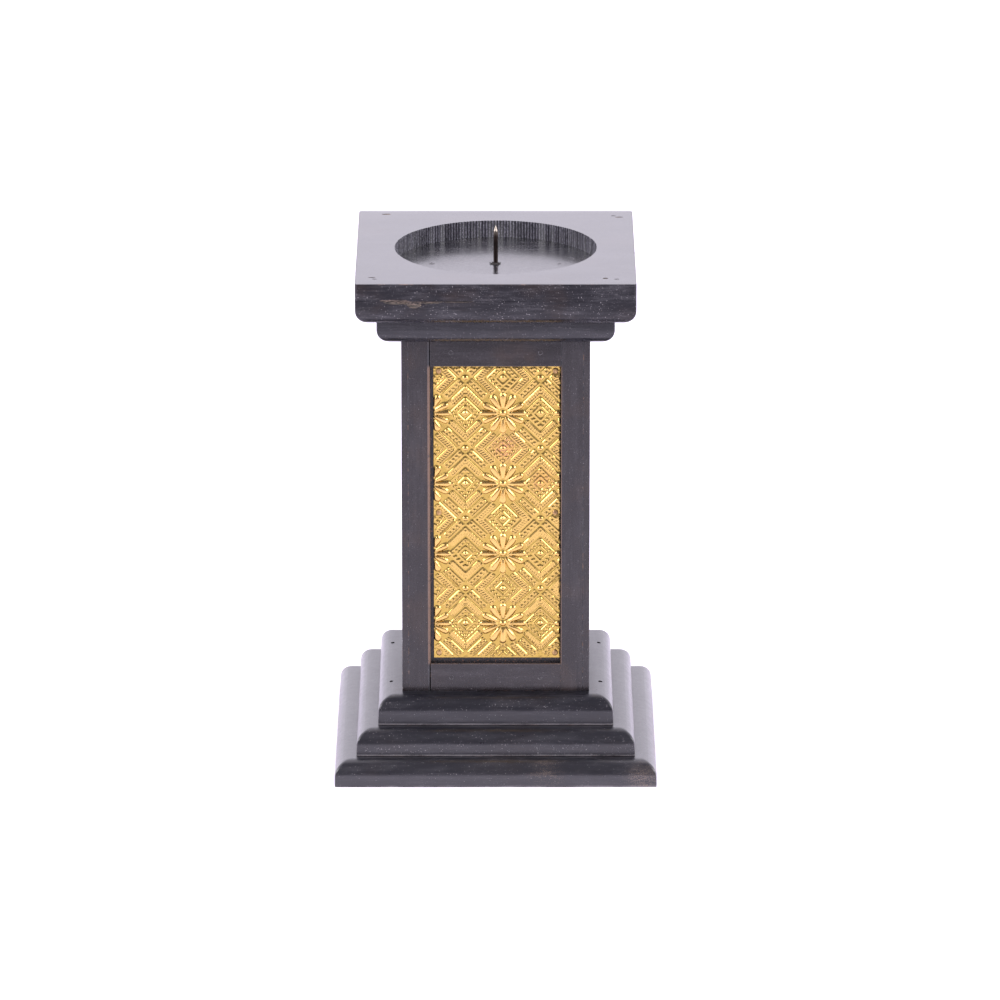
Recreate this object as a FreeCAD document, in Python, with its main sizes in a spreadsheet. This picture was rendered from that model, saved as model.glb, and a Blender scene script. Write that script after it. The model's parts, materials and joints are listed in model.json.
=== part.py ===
"""Pillar candlestick: a square wooden post on a stepped base, with a moulded cap that holds one candle.

The post is faced on all four sides with thin wooden strips. Each set of four strips leaves a shallow panel,
and an embossed brass sheet is tacked into it. The cap is three boards: a neck, a cap board with a wire spike
through it, and a top board with a round hole that makes the candle's recess. Everything is glued and nailed.

Frame: +Z up, the origin at the middle of the base's underside, and the front towards -Y. Millimetres.
"""

import FreeCAD, Part
import os
import Sketcher
from FreeCAD import Placement, Rotation, Vector

doc = FreeCAD.newDocument("candlestick")

# ---------------------------------------------------------------- driving sizes

SIZES = [
    # boards of the base and the cap
    ("board_thick", 9.2, "thickness of the two lower base boards, the neck and the cap board"),
    ("seat_board_thick", 10.1, "thickness of the uppermost base board, on which the post stands"),
    ("edge_round", 5.6, "radius worked along one edge of each of those boards"),
    ("base_ledge", 8.7, "how far the uppermost base board stands out past the faced post"),
    ("tread_step", 7.75, "how far each base board stands out past the one above"),
    ("neck_ledge", 8.7, "how far the neck board under the cap stands out past the faced post"),
    ("cap_ledge", 7.5, "how far the cap board and the top board stand out past the neck"),
    ("top_board_thick", 6.3, "thickness of the board with the candle's hole"),
    ("recess_dia", 73.0, "candle recess, for a 70 mm candle"),
    # post and its facing strips
    ("post_side", 62.8, "side of the solid post"),
    ("post_height", 132.6, "length of the post"),
    ("strip_thick", 2.4, "thickness of the facing strips"),
    ("rail_width", 10.4, "height of the level strips"),
    ("stile_width", 10.3, "from each corner of the faced post to the panel, which the upright strips cover"),
    # embossed sheets
    ("sheet_thick", 0.3, "thickness of the brass"),
    ("sheet_gap_left", 1.1, "bare post left of each sheet"),
    ("sheet_gap_right", 0.1, "bare post right of each sheet"),
    ("sheet_gap_top", 0.1, "bare post above each sheet"),
    ("sheet_gap_bottom", 1.6, "bare post below each sheet"),
    # tacks through the sheets
    ("tack_dia", 1.0, "tack shank"),
    ("tack_head_dia", 2.1, "tack head"),
    ("tack_head_thick", 0.35, "tack head"),
    ("tack_length", 8.0, "tack, under its head"),
    ("tack_inset", 2.0, "tack centre from the edge of the sheet"),
    # brads through the strips
    ("brad_dia", 1.0, "brad shank"),
    ("brad_head_dia", 1.7, "brad head"),
    ("brad_head_thick", 0.5, "brad head, driven flush"),
    ("brad_length", 12.0, "brad, under its head"),
    ("rail_brad_spacing", 32.0, "between the two brads of a rail"),
    ("stile_brad_inset", 16.0, "first and last brad of a stile from the ends of the post"),
    ("side_brad_shift", 5.0, "side faces' brads stand this much higher, to miss the front and back ones"),
    ("top_brad_inset", 7.0, "brads that hold the top board down, from its edges"),
    # spike
    ("spike_dia", 1.6, "candle spike, a wire nail"),
    ("spike_height", 14.5, "spike above the recess floor"),
    ("spike_head_dia", 3.6, "spike's head, let into the cap board's underside"),
    ("spike_head_thick", 0.8, "spike's head"),
    # nails that join the boards to the post
    ("cap_nail_dia", 2.2, "nail through cap board and neck into the post"),
    ("cap_nail_head_dia", 4.2, "its head"),
    ("cap_nail_head_thick", 0.9, "its head"),
    ("cap_nail_length", 40.0, "its length under the head"),
    ("cap_nail_spacing", 46.0, "between the two cap nails"),
    ("tread_nail_dia", 1.6, "nail through the upper base boards into the lowest"),
    ("tread_nail_head_dia", 2.2, "its lost head"),
    ("tread_nail_head_thick", 1.2, "its lost head"),
    ("tread_nail_length", 22.0, "its length under the head"),
    ("tread_nail_inset", 4.5, "its centre from the side edge of the uppermost base board"),
    ("tread_nail_spacing", 45.0, "between two tread nails, front to back"),
    ("nail_set", 0.5, "how far the tread nails' heads are punched below the wood"),
    ("foot_nail_dia", 2.6, "nail up through the base boards into the post"),
    ("foot_nail_head_dia", 5.2, "its head"),
    ("foot_nail_head_thick", 1.0, "its head"),
    ("foot_nail_length", 52.0, "its length under the head"),
    ("foot_nail_spacing", 34.0, "between the foot nails, both ways"),
    # what all nails share
    ("point_length", 2.4, "length of the pointed end of every nail, brad and tack"),
]

sheet = doc.addObject("Spreadsheet::Sheet", "Sizes")
for row, (alias, value, note) in enumerate(SIZES, start=1):
    sheet.set(f"A{row}", alias)
    sheet.set(f"B{row}", str(value))
    sheet.set(f"C{row}", note)
    sheet.setAlias(f"B{row}", alias)
doc.recompute()

BASE_HEIGHT = "2 * Sizes.board_thick + Sizes.seat_board_thick"
POST_TOP = f"{BASE_HEIGHT} + Sizes.post_height"
CAP_UNDERSIDE = f"{POST_TOP} + Sizes.board_thick"
RECESS_FLOOR = f"{POST_TOP} + 2 * Sizes.board_thick"
POST_HALF = "Sizes.post_side / 2"
STRIP_FACE = f"({POST_HALF} + Sizes.strip_thick)"
SHEET_FACE = f"({POST_HALF} + Sizes.sheet_thick)"
BASE_TOP_SIDE = f"(2 * {STRIP_FACE} + 2 * Sizes.base_ledge)"
NECK_SIDE = f"(2 * {STRIP_FACE} + 2 * Sizes.neck_ledge)"
CAP_SIDE = f"({NECK_SIDE} + 2 * Sizes.cap_ledge)"
OPENING_WIDTH = f"(2 * {STRIP_FACE} - 2 * Sizes.stile_width)"
OPENING_HEIGHT = "(Sizes.post_height - 2 * Sizes.rail_width)"
SHEET_WIDTH = f"({OPENING_WIDTH} - Sizes.sheet_gap_left - Sizes.sheet_gap_right)"
SHEET_HEIGHT = f"({OPENING_HEIGHT} - Sizes.sheet_gap_top - Sizes.sheet_gap_bottom)"

# The four faces of the post. Each is drawn as the front, then turned about the post's axis.
# The front and back strips fit between the side faces' strips, which reach right to the corners.
FACES = [
    ("front", 0, POST_HALF, "0"),
    ("right", 90, STRIP_FACE, "Sizes.side_brad_shift"),
    ("back", 180, POST_HALF, "0"),
    ("left", 270, STRIP_FACE, "Sizes.side_brad_shift"),
]

# ---------------------------------------------------------------- drawing helpers


def new_body(label):
    body = doc.addObject("PartDesign::Body", label)
    body.Label = label
    return body


def origin_plane(body, role):
    return next(f for f in body.Origin.OriginFeatures if f.Role == role)


def new_sketch(body, role, offset):
    """An empty sketch on one of the body's origin planes; offset maps 'x', 'y' and 'z' to expressions."""
    sketch = body.newObject("Sketcher::SketchObject", body.Name + "_sketch")
    sketch.AttachmentSupport = (origin_plane(body, role), [""])
    sketch.MapMode = "FlatFace"
    for direction, expression in offset.items():
        sketch.setExpression(f"AttachmentOffset.Base.{direction}", expression)
    return sketch


def value_of(expression):
    """The expression's value now, for a first guess at a sketch's points."""
    return float(doc.Sizes.evalExpression(expression.replace("Sizes.", "")))


def rectangle(sketch, width, depth, left="", low=""):
    """A rectangle of that width and depth. It is centred, unless left and low say where its edges are."""
    w, d = value_of(width), value_of(depth)
    x0 = value_of(left) if left else -w / 2
    y0 = value_of(low) if low else -d / 2
    corners = [Vector(x0, y0, 0), Vector(x0 + w, y0, 0), Vector(x0 + w, y0 + d, 0), Vector(x0, y0 + d, 0)]
    for start, end in zip(corners, corners[1:] + corners[:1]):
        sketch.addGeometry(Part.LineSegment(start, end))
    for line in range(4):
        sketch.addConstraint(Sketcher.Constraint("Coincident", line, 2, (line + 1) % 4, 1))
    for line in (0, 2):
        sketch.addConstraint(Sketcher.Constraint("Horizontal", line))
    for line in (1, 3):
        sketch.addConstraint(Sketcher.Constraint("Vertical", line))
    bind(sketch, Sketcher.Constraint("DistanceX", 0, 1, 0, 2, w), width)
    bind(sketch, Sketcher.Constraint("DistanceY", 1, 1, 1, 2, d), depth)
    if left:
        bind(sketch, Sketcher.Constraint("DistanceX", -1, 1, 0, 1, x0), left)
        bind(sketch, Sketcher.Constraint("DistanceY", -1, 1, 0, 1, y0), low)
    else:
        sketch.addConstraint(Sketcher.Constraint("Symmetric", 0, 1, 1, 2, -1, 1))


def bind(sketch, constraint, expression):
    index = sketch.addConstraint(constraint)
    sketch.setExpression(f"Constraints[{index}]", expression)


def pad(body, sketch, length):
    feature = body.newObject("PartDesign::Pad", body.Name + "_pad")
    feature.Profile = sketch
    feature.setExpression("Length", length)
    return feature


def level_edges(shape, z):
    """Names of the straight edges that lie at height z."""
    return [
        f"Edge{number}"
        for number, edge in enumerate(shape.Edges, start=1)
        if all(abs(vertex.Z - z) < 0.01 for vertex in edge.Vertexes)
    ]


def cut(label, blank, tool):
    """The blank with the nails' own shapes taken out of it, so that every nail fits its hole."""
    blank.Label = label + "_blank"
    result = doc.addObject("Part::Cut", label)
    result.Label = label
    result.Base = blank
    result.Tool = tool
    return result


def compound(label, parts):
    group = doc.addObject("Part::Compound", label)
    group.Label = label
    group.Links = parts
    return group


# ---------------------------------------------------------------- boards


def board(label, side, bottom, rounded, thick="Sizes.board_thick"):
    """A square board whose 'top' or 'bottom' edge is rounded all the way round."""
    body = new_body(label)
    sketch = new_sketch(body, "XY_Plane", {})
    rectangle(sketch, side, side)
    solid = pad(body, sketch, thick)
    doc.recompute()
    edge_height = value_of(thick) if rounded == "top" else 0
    fillet = body.newObject("PartDesign::Fillet", label + "_edge")
    fillet.Base = (solid, level_edges(solid.Shape, edge_height))
    fillet.setExpression("Radius", "Sizes.edge_round")
    body.setExpression("Placement.Base.z", bottom)
    return body


def top_board(label):
    """The square board on top, with a round hole right through it."""
    body = new_body(label)
    sketch = new_sketch(body, "XY_Plane", {})
    rectangle(sketch, CAP_SIDE, CAP_SIDE)
    radius = value_of("Sizes.recess_dia / 2")
    hole = sketch.addGeometry(Part.Circle(Vector(0, 0, 0), Vector(0, 0, 1), radius))
    sketch.addConstraint(Sketcher.Constraint("Coincident", hole, 3, -1, 1))
    bind(sketch, Sketcher.Constraint("Radius", hole, radius), "Sizes.recess_dia / 2")
    pad(body, sketch, "Sizes.top_board_thick")
    body.setExpression("Placement.Base.z", RECESS_FLOOR)
    return body


# ---------------------------------------------------------------- post, strips and sheets


def upright(label, width, depth, left, low, bottom, height, turn):
    """A straight piece with a level section: the post, a strip or a sheet, drawn as at the front."""
    body = new_body(label)
    sketch = new_sketch(body, "XY_Plane", {"z": bottom})
    rectangle(sketch, width, depth, left, low)
    pad(body, sketch, height)
    body.Placement = Placement(Vector(0, 0, 0), Rotation(Vector(0, 0, 1), turn))
    return body


def strips_of(face, turn, corner):
    """The two stiles and two rails of one face. The stiles reach from the panel to that face's corner."""
    half_opening = f"({OPENING_WIDTH} / 2)"
    stile = f"({corner} - {half_opening})"
    front = f"-{STRIP_FACE}"
    thick = "Sizes.strip_thick"
    tall = "Sizes.post_height"
    rail = "Sizes.rail_width"
    stiles = [
        upright(f"{face}_left_stile", stile, thick, f"-{corner}", front, BASE_HEIGHT, tall, turn),
        upright(f"{face}_right_stile", stile, thick, half_opening, front, BASE_HEIGHT, tall, turn),
    ]
    rails = [
        upright(f"{face}_{place}_rail", OPENING_WIDTH, thick, f"-{half_opening}", front, low, rail, turn)
        for place, low in (("bottom", BASE_HEIGHT), ("top", f"{POST_TOP} - {rail}"))
    ]
    return stiles, rails


def sheet_of(face, turn):
    left = f"-{OPENING_WIDTH} / 2 + Sizes.sheet_gap_left"
    low = f"{BASE_HEIGHT} + Sizes.rail_width + Sizes.sheet_gap_bottom"
    thick = "Sizes.sheet_thick"
    outer = f"-{SHEET_FACE}"
    return upright(f"{face}_brass_sheet", SHEET_WIDTH, thick, left, outer, low, SHEET_HEIGHT, turn)


# ---------------------------------------------------------------- nails


def nail_profile(sketch, kind, length):
    """Half of a nail's outline: its head's outside at the sketch's origin and its point along +V."""
    shank = f"Sizes.{kind}_dia / 2"
    head = f"Sizes.{kind}_head_dia / 2"
    head_thick = f"Sizes.{kind}_head_thick"
    straight = f"{length} - Sizes.point_length"
    r, big, t, run, tip = (value_of(e) for e in (shank, head, head_thick, straight, length))
    points = [(0, 0), (big, 0), (big, t), (r, t), (r, t + run), (0, t + tip)]
    corners = [Vector(u, v, 0) for u, v in points]
    for start, end in zip(corners, corners[1:] + corners[:1]):
        sketch.addGeometry(Part.LineSegment(start, end))
    for line in range(6):
        sketch.addConstraint(Sketcher.Constraint("Coincident", line, 2, (line + 1) % 6, 1))
    sketch.addConstraint(Sketcher.Constraint("Coincident", 0, 1, -1, 1))
    for line in (0, 2):
        sketch.addConstraint(Sketcher.Constraint("Horizontal", line))
    for line in (1, 3, 5):
        sketch.addConstraint(Sketcher.Constraint("Vertical", line))
    bind(sketch, Sketcher.Constraint("DistanceX", 0, 1, 0, 2, big), head)
    bind(sketch, Sketcher.Constraint("DistanceY", 1, 1, 1, 2, t), head_thick)
    bind(sketch, Sketcher.Constraint("DistanceX", -1, 1, 3, 1, r), shank)
    bind(sketch, Sketcher.Constraint("DistanceY", 3, 1, 3, 2, run), straight)
    bind(sketch, Sketcher.Constraint("DistanceY", 3, 1, 4, 2, tip), length)


def nail_group(label, kind, plane, start, columns, rows, turn=0, length="", downwards=False):
    """Equal nails in a grid: columns run along the sketch's H axis and rows along its normal.

    columns and rows are (count, expression for the whole spread), and start is the first nail's head.
    """
    body = new_body(label)
    body.AllowCompound = True
    sketch = new_sketch(body, plane, {})
    if downwards:
        sketch.AttachmentOffset = Placement(Vector(0, 0, 0), Rotation(Vector(0, 0, 1), 180))
    for direction, expression in start.items():
        sketch.setExpression(f"AttachmentOffset.Base.{direction}", expression)
    nail_profile(sketch, kind, length or f"Sizes.{kind}_length")
    nail = body.newObject("PartDesign::Revolution", label + "_nail")
    nail.Profile = sketch
    nail.ReferenceAxis = (sketch, ["V_Axis"])
    nail.Angle = 360
    doc.recompute()
    patterns = []
    group = None
    for axis, (count, spread) in (("H_Axis", columns), ("N_Axis", rows)):
        if count > 1:
            group = group or body.newObject("PartDesign::MultiTransform", label + "_grid")
            pattern = doc.addObject("PartDesign::LinearPattern", label + "_row")
            body.addObject(pattern)
            pattern.Direction = (sketch, [axis])
            pattern.setExpression("Length", spread)
            pattern.Occurrences = count
            pattern.Reversed = downwards and axis == "H_Axis"
            patterns.append(pattern)
    if group:
        group.Originals = [nail]
        group.Transformations = patterns
        body.Tip = group
    body.Placement = Placement(Vector(0, 0, 0), Rotation(Vector(0, 0, 1), turn))
    return body


def tacks_of(face, turn):
    """Six tacks: the sheet's corners and the middles of its long edges."""
    start = {
        "x": f"-{OPENING_WIDTH} / 2 + Sizes.sheet_gap_left + Sizes.tack_inset",
        "y": f"-{SHEET_FACE} - Sizes.tack_head_thick",
        "z": f"{BASE_HEIGHT} + Sizes.rail_width + Sizes.sheet_gap_bottom + Sizes.tack_inset",
    }
    across = f"{SHEET_WIDTH} - 2 * Sizes.tack_inset"
    up = f"{SHEET_HEIGHT} - 2 * Sizes.tack_inset"
    return nail_group(f"{face}_sheet_tacks", "tack", "XY_Plane", start, (2, across), (3, up), turn)


def brads_of(face, turn, corner, shift):
    """Two brads in each rail and three in each stile, driven flush."""
    stile_centre = f"({corner} + {OPENING_WIDTH} / 2) / 2"
    rail_start = {
        "x": "-Sizes.rail_brad_spacing / 2",
        "y": f"-{STRIP_FACE}",
        "z": f"{BASE_HEIGHT} + Sizes.rail_width / 2",
    }
    stile_start = {
        "x": f"-{stile_centre}",
        "y": f"-{STRIP_FACE}",
        "z": f"{BASE_HEIGHT} + Sizes.stile_brad_inset + {shift}",
    }
    rail_grid = ((2, "Sizes.rail_brad_spacing"), (2, "Sizes.post_height - Sizes.rail_width"))
    stile_grid = ((2, f"2 * {stile_centre}"), (3, "Sizes.post_height - 2 * Sizes.stile_brad_inset"))
    return (
        nail_group(f"{face}_rail_brads", "brad", "XY_Plane", rail_start, *rail_grid, turn),
        nail_group(f"{face}_stile_brads", "brad", "XY_Plane", stile_start, *stile_grid, turn),
    )


# ---------------------------------------------------------------- the candlestick

pieces = []

# Nails come first, because every board and strip is cut to fit them.
spike = nail_group(
    "candle_spike",
    "spike",
    "XZ_Plane",
    {"y": CAP_UNDERSIDE},
    (1, ""),
    (1, ""),
    length="Sizes.board_thick + Sizes.spike_height - Sizes.spike_head_thick",
)
cap_nails = nail_group(
    "cap_nails",
    "cap_nail",
    "XZ_Plane",
    {"x": "-Sizes.cap_nail_spacing / 2", "y": RECESS_FLOOR},
    (2, "Sizes.cap_nail_spacing"),
    (1, ""),
    downwards=True,
)
tread_nails = nail_group(
    "tread_nails",
    "tread_nail",
    "XZ_Plane",
    {
        "x": f"-{BASE_TOP_SIDE} / 2 + Sizes.tread_nail_inset",
        "y": f"{BASE_HEIGHT} - Sizes.nail_set",
        "z": "-Sizes.tread_nail_spacing / 2",
    },
    (2, f"{BASE_TOP_SIDE} - 2 * Sizes.tread_nail_inset"),
    (2, "Sizes.tread_nail_spacing"),
    downwards=True,
)
foot_nails = nail_group(
    "foot_nails",
    "foot_nail",
    "XZ_Plane",
    {"x": "-Sizes.foot_nail_spacing / 2", "z": "-Sizes.foot_nail_spacing / 2"},
    (2, "Sizes.foot_nail_spacing"),
    (2, "Sizes.foot_nail_spacing"),
)
top_brads = nail_group(
    "top_board_brads",
    "brad",
    "XZ_Plane",
    {
        "x": f"-{CAP_SIDE} / 2 + Sizes.top_brad_inset",
        "y": f"{RECESS_FLOOR} + Sizes.top_board_thick",
        "z": f"-{CAP_SIDE} / 2 + Sizes.top_brad_inset",
    },
    (2, f"{CAP_SIDE} - 2 * Sizes.top_brad_inset"),
    (2, f"{CAP_SIDE} - 2 * Sizes.top_brad_inset"),
    downwards=True,
)
pieces += [spike, cap_nails, tread_nails, foot_nails, top_brads]

# The four faced sides.
post_nails = [cap_nails, foot_nails]
for face, turn, corner, shift in FACES:
    tacks = tacks_of(face, turn)
    rail_brads, stile_brads = brads_of(face, turn, corner, shift)
    stiles, rails = strips_of(face, turn, corner)
    brass = sheet_of(face, turn)
    pieces += [tacks, rail_brads, stile_brads, cut(f"{face}_brass_sheet", brass, tacks)]
    pieces += [cut(blank.Label, blank, stile_brads) for blank in stiles]
    pieces += [cut(blank.Label, blank, rail_brads) for blank in rails]
    post_nails += [tacks, rail_brads, stile_brads]

# The post.
post_side = "Sizes.post_side"
post_edge = f"-{POST_HALF}"
post = upright("post", post_side, post_side, post_edge, post_edge, BASE_HEIGHT, "Sizes.post_height", 0)
pieces.append(cut("post", post, compound("nails_in_the_post", post_nails)))

# The stepped base, from the floor up. The punched tread nails leave a small pit above their heads.
pits = doc.addObject("PartDesign::Body", "tread_nail_pits")
pits.AllowCompound = True
pit_sketch = new_sketch(pits, "XY_Plane", {"z": f"{BASE_HEIGHT} - Sizes.nail_set"})
pit_radius = value_of("Sizes.tread_nail_head_dia / 2")
for across in (-1, 1):
    for along in (-1, 1):
        place_x = f"({BASE_TOP_SIDE} / 2 - Sizes.tread_nail_inset)"
        place_y = "(Sizes.tread_nail_spacing / 2)"
        x, y = across * value_of(place_x), along * value_of(place_y)
        pit = pit_sketch.addGeometry(Part.Circle(Vector(x, y, 0), Vector(0, 0, 1), pit_radius))
        bind(pit_sketch, Sketcher.Constraint("Radius", pit, pit_radius), "Sizes.tread_nail_head_dia / 2")
        bind(pit_sketch, Sketcher.Constraint("DistanceX", -1, 1, pit, 3, x), f"{across} * {place_x}")
        bind(pit_sketch, Sketcher.Constraint("DistanceY", -1, 1, pit, 3, y), f"{along} * {place_y}")
pad(pits, pit_sketch, "Sizes.nail_set")

base_tools = compound("nails_in_the_base", [foot_nails, tread_nails, pits])
common, seat = "Sizes.board_thick", "Sizes.seat_board_thick"
base_boards = [
    ("base_bottom_board", f"{BASE_TOP_SIDE} + 4 * Sizes.tread_step", "0", common),
    ("base_middle_board", f"{BASE_TOP_SIDE} + 2 * Sizes.tread_step", common, common),
    ("base_top_board", BASE_TOP_SIDE, f"2 * {common}", seat),
]
for label, side, bottom, thick in base_boards:
    pieces.append(cut(label, board(label, side, bottom, "top", thick), base_tools))

# The neck, the cap board and the top board with the candle's hole.
cap_tools = compound("nails_in_the_cap", [cap_nails, spike, top_brads])
pieces.append(cut("neck_board", board("neck_board", NECK_SIDE, POST_TOP, "bottom"), cap_tools))
pieces.append(cut("cap_board", board("cap_board", CAP_SIDE, CAP_UNDERSIDE, "bottom"), cap_tools))
pieces.append(cut("top_board", top_board("top_board"), top_brads))

# ---------------------------------------------------------------- checks and files

doc.recompute()
failed = [o.Label for o in doc.Objects if "Invalid" in o.State or "Error" in o.State]
if failed:
    raise RuntimeError(f"failed objects: {failed}")
for piece in pieces:
    if piece.Shape.isNull() or not piece.Shape.isValid() or not piece.Shape.Solids:
        raise RuntimeError(f"{piece.Label} has no valid solid")

os.makedirs("parts", exist_ok=True)
for piece in pieces:
    piece.Shape.exportStep(f"parts/{piece.Label}.step")
print(f"{len(pieces)} pieces, {sum(len(piece.Shape.Solids) for piece in pieces)} solids")
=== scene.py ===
import json
import math
import random

import bmesh
import bpy
from mathutils import Euler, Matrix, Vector, noise

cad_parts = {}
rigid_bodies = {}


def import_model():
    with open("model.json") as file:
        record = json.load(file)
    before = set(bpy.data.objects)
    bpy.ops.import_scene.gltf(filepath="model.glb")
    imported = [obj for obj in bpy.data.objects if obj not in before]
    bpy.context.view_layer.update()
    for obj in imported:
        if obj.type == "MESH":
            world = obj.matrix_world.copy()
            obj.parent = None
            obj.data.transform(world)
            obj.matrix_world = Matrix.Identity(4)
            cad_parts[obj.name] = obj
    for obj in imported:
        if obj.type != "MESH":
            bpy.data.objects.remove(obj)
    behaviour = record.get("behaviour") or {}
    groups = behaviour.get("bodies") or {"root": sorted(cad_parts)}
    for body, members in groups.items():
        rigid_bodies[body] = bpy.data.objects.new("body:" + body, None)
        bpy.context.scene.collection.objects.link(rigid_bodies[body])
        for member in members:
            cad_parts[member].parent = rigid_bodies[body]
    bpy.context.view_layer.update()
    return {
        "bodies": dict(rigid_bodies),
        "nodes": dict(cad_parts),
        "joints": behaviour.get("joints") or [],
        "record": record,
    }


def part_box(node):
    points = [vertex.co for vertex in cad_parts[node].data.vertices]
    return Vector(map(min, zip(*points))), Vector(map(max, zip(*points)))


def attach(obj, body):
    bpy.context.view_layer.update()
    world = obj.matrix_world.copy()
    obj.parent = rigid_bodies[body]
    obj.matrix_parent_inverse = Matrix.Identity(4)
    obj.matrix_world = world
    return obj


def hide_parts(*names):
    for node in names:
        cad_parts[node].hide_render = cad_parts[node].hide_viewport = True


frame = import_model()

# Pillar candlestick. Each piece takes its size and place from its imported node's own box, in metres, and
# the sizes of marks, wear and embossing are given here.
MM = 0.001
FACES = {"front": 0, "right": 90, "back": 180, "left": 270}

# ---------------------------------------------------------------- modelling by hand


def deselect():
    """Leaves nothing selected, so that an operator acts on the new piece alone."""
    if bpy.context.object and bpy.context.object.mode == "EDIT":
        bpy.ops.object.mode_set(mode="OBJECT")
    bpy.ops.object.select_all(action="DESELECT")


def hold(piece):
    """Selects one piece alone and makes it the active one."""
    deselect()
    piece.select_set(True)
    bpy.context.view_layer.objects.active = piece


def settle(piece):
    """Puts the piece's place, turn and scale into its mesh."""
    hold(piece)
    bpy.ops.object.transform_apply(location=True, rotation=True, scale=True)


def block(name, low, high):
    """A rectangular blank between two corners."""
    low, high = Vector(low), Vector(high)
    deselect()
    bpy.ops.mesh.primitive_cube_add(size=1, location=(low + high) / 2)
    piece = bpy.context.object
    piece.name = name
    piece.scale = high - low
    settle(piece)
    return piece


def pick(piece, kind, wanted):
    """Opens the piece in edit mode, with just the verts, edges or faces selected that wanted() accepts."""
    hold(piece)
    bpy.ops.object.mode_set(mode="EDIT")
    bpy.ops.mesh.select_mode(type={"verts": "VERT", "edges": "EDGE", "faces": "FACE"}[kind])
    bpy.ops.mesh.select_all(action="DESELECT")
    form = bmesh.from_edit_mesh(piece.data)
    count = 0
    for item in getattr(form, kind):
        if wanted(item):
            item.select_set(True)
            count += 1
    form.select_flush_mode()
    bmesh.update_edit_mesh(piece.data)
    return count


def done():
    bpy.ops.object.mode_set(mode="OBJECT")


def round_edges(piece, wanted, radius, segments=3):
    """Bevels the edges that wanted() accepts."""
    if pick(piece, "edges", wanted):
        bpy.ops.mesh.bevel(offset=radius, segments=segments, profile=0.5, affect="EDGES")
    done()


def along(edge, axis):
    """Whether an edge runs along that axis."""
    run = edge.verts[1].co - edge.verts[0].co
    return abs(run[axis]) > 0.999 * run.length


def at(edge, axis, place, slack=0.02 * MM):
    """Whether both of an edge's ends lie at that place on that axis."""
    return all(abs(vert.co[axis] - place) < slack for vert in edge.verts)


def slice_up(piece, axis, step):
    """Cuts the piece across that axis about every step, so that it can be shaped between its corners."""
    places = [vert.co[axis] for vert in piece.data.vertices]
    low, high = min(places), max(places)
    count = max(1, round((high - low) / step))
    normal = Vector((0, 0, 0))
    normal[axis] = 1
    for cut in range(1, count):
        place = Vector((0, 0, 0))
        place[axis] = low + (high - low) * cut / count
        pick(piece, "faces", lambda face: True)
        bpy.ops.mesh.bisect(plane_co=place, plane_no=normal)
        done()


def modify(piece, kind, **settings):
    """Adds a modifier, sets it up and applies it."""
    hold(piece)
    modifier = piece.modifiers.new(kind.lower(), kind)
    for name, value in settings.items():
        setattr(modifier, name, value)
    bpy.ops.object.modifier_apply(modifier=modifier.name)


def clouds(name, size, depth=2):
    """A soft random pattern for the Displace modifier, size across its lumps."""
    texture = bpy.data.textures.new(name, "CLOUDS")
    texture.noise_scale = size
    texture.noise_depth = depth
    return texture


PLANING = clouds("planing", 22 * MM)
GRIT = clouds("grit", 1.1 * MM)


def unlevel(piece, amount=0.16 * MM, texture=PLANING):
    """The slight unevenness of a piece that was planed and sanded by hand."""
    modify(piece, "DISPLACE", texture=texture, strength=amount, mid_level=0.5, texture_coords="LOCAL")


def weigh(piece, name, weight):
    """A vertex group in which each vertex has the weight that weight(co) gives."""
    group = piece.vertex_groups.new(name=name)
    for vert in piece.data.vertices:
        value = weight(vert.co)
        if value > 0:
            group.add([vert.index], min(value, 1), "REPLACE")
    return name


def gather(name, pieces):
    """Joins several pieces into one."""
    deselect()
    for piece in pieces:
        piece.select_set(True)
    bpy.context.view_layer.objects.active = pieces[0]
    bpy.ops.object.join()
    pieces[0].name = name
    return pieces[0]


def carve(piece, cutter, tangled=False):
    """Cuts the cutter out and leaves its material on the cut. A tangled cutter crosses itself."""
    modify(piece, "BOOLEAN", object=cutter, operation="DIFFERENCE", solver="EXACT",
           material_mode="TRANSFER", use_self=tangled)
    bpy.data.objects.remove(cutter)


def smooth(piece, degrees=35):
    """Smooth shading, in which the broad faces stay flat up to their rounded edges."""
    hold(piece)
    bpy.ops.object.shade_smooth_by_angle(angle=math.radians(degrees))
    modify(piece, "WEIGHTED_NORMAL", keep_sharp=True)


def finish(piece, slot, *nodes):
    """The piece rides on the one body there is, and stands for those nodes."""
    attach(piece, "root")
    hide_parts(*nodes)


# ---------------------------------------------------------------- finishes


class Wire:
    """A value in a material, on which Python's own sums add Math nodes."""

    def __init__(self, mix, socket):
        self.mix = mix
        self.socket = socket

    def sum(self, operation, *values):
        return self.mix.sum(operation, *values)

    def __add__(self, other):
        return self.sum("ADD", self, other)

    def __sub__(self, other):
        return self.sum("SUBTRACT", self, other)

    def __mul__(self, other):
        return self.sum("MULTIPLY", self, other)

    def __rsub__(self, other):
        return self.sum("SUBTRACT", other, self)

    __radd__ = __add__
    __rmul__ = __mul__


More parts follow.
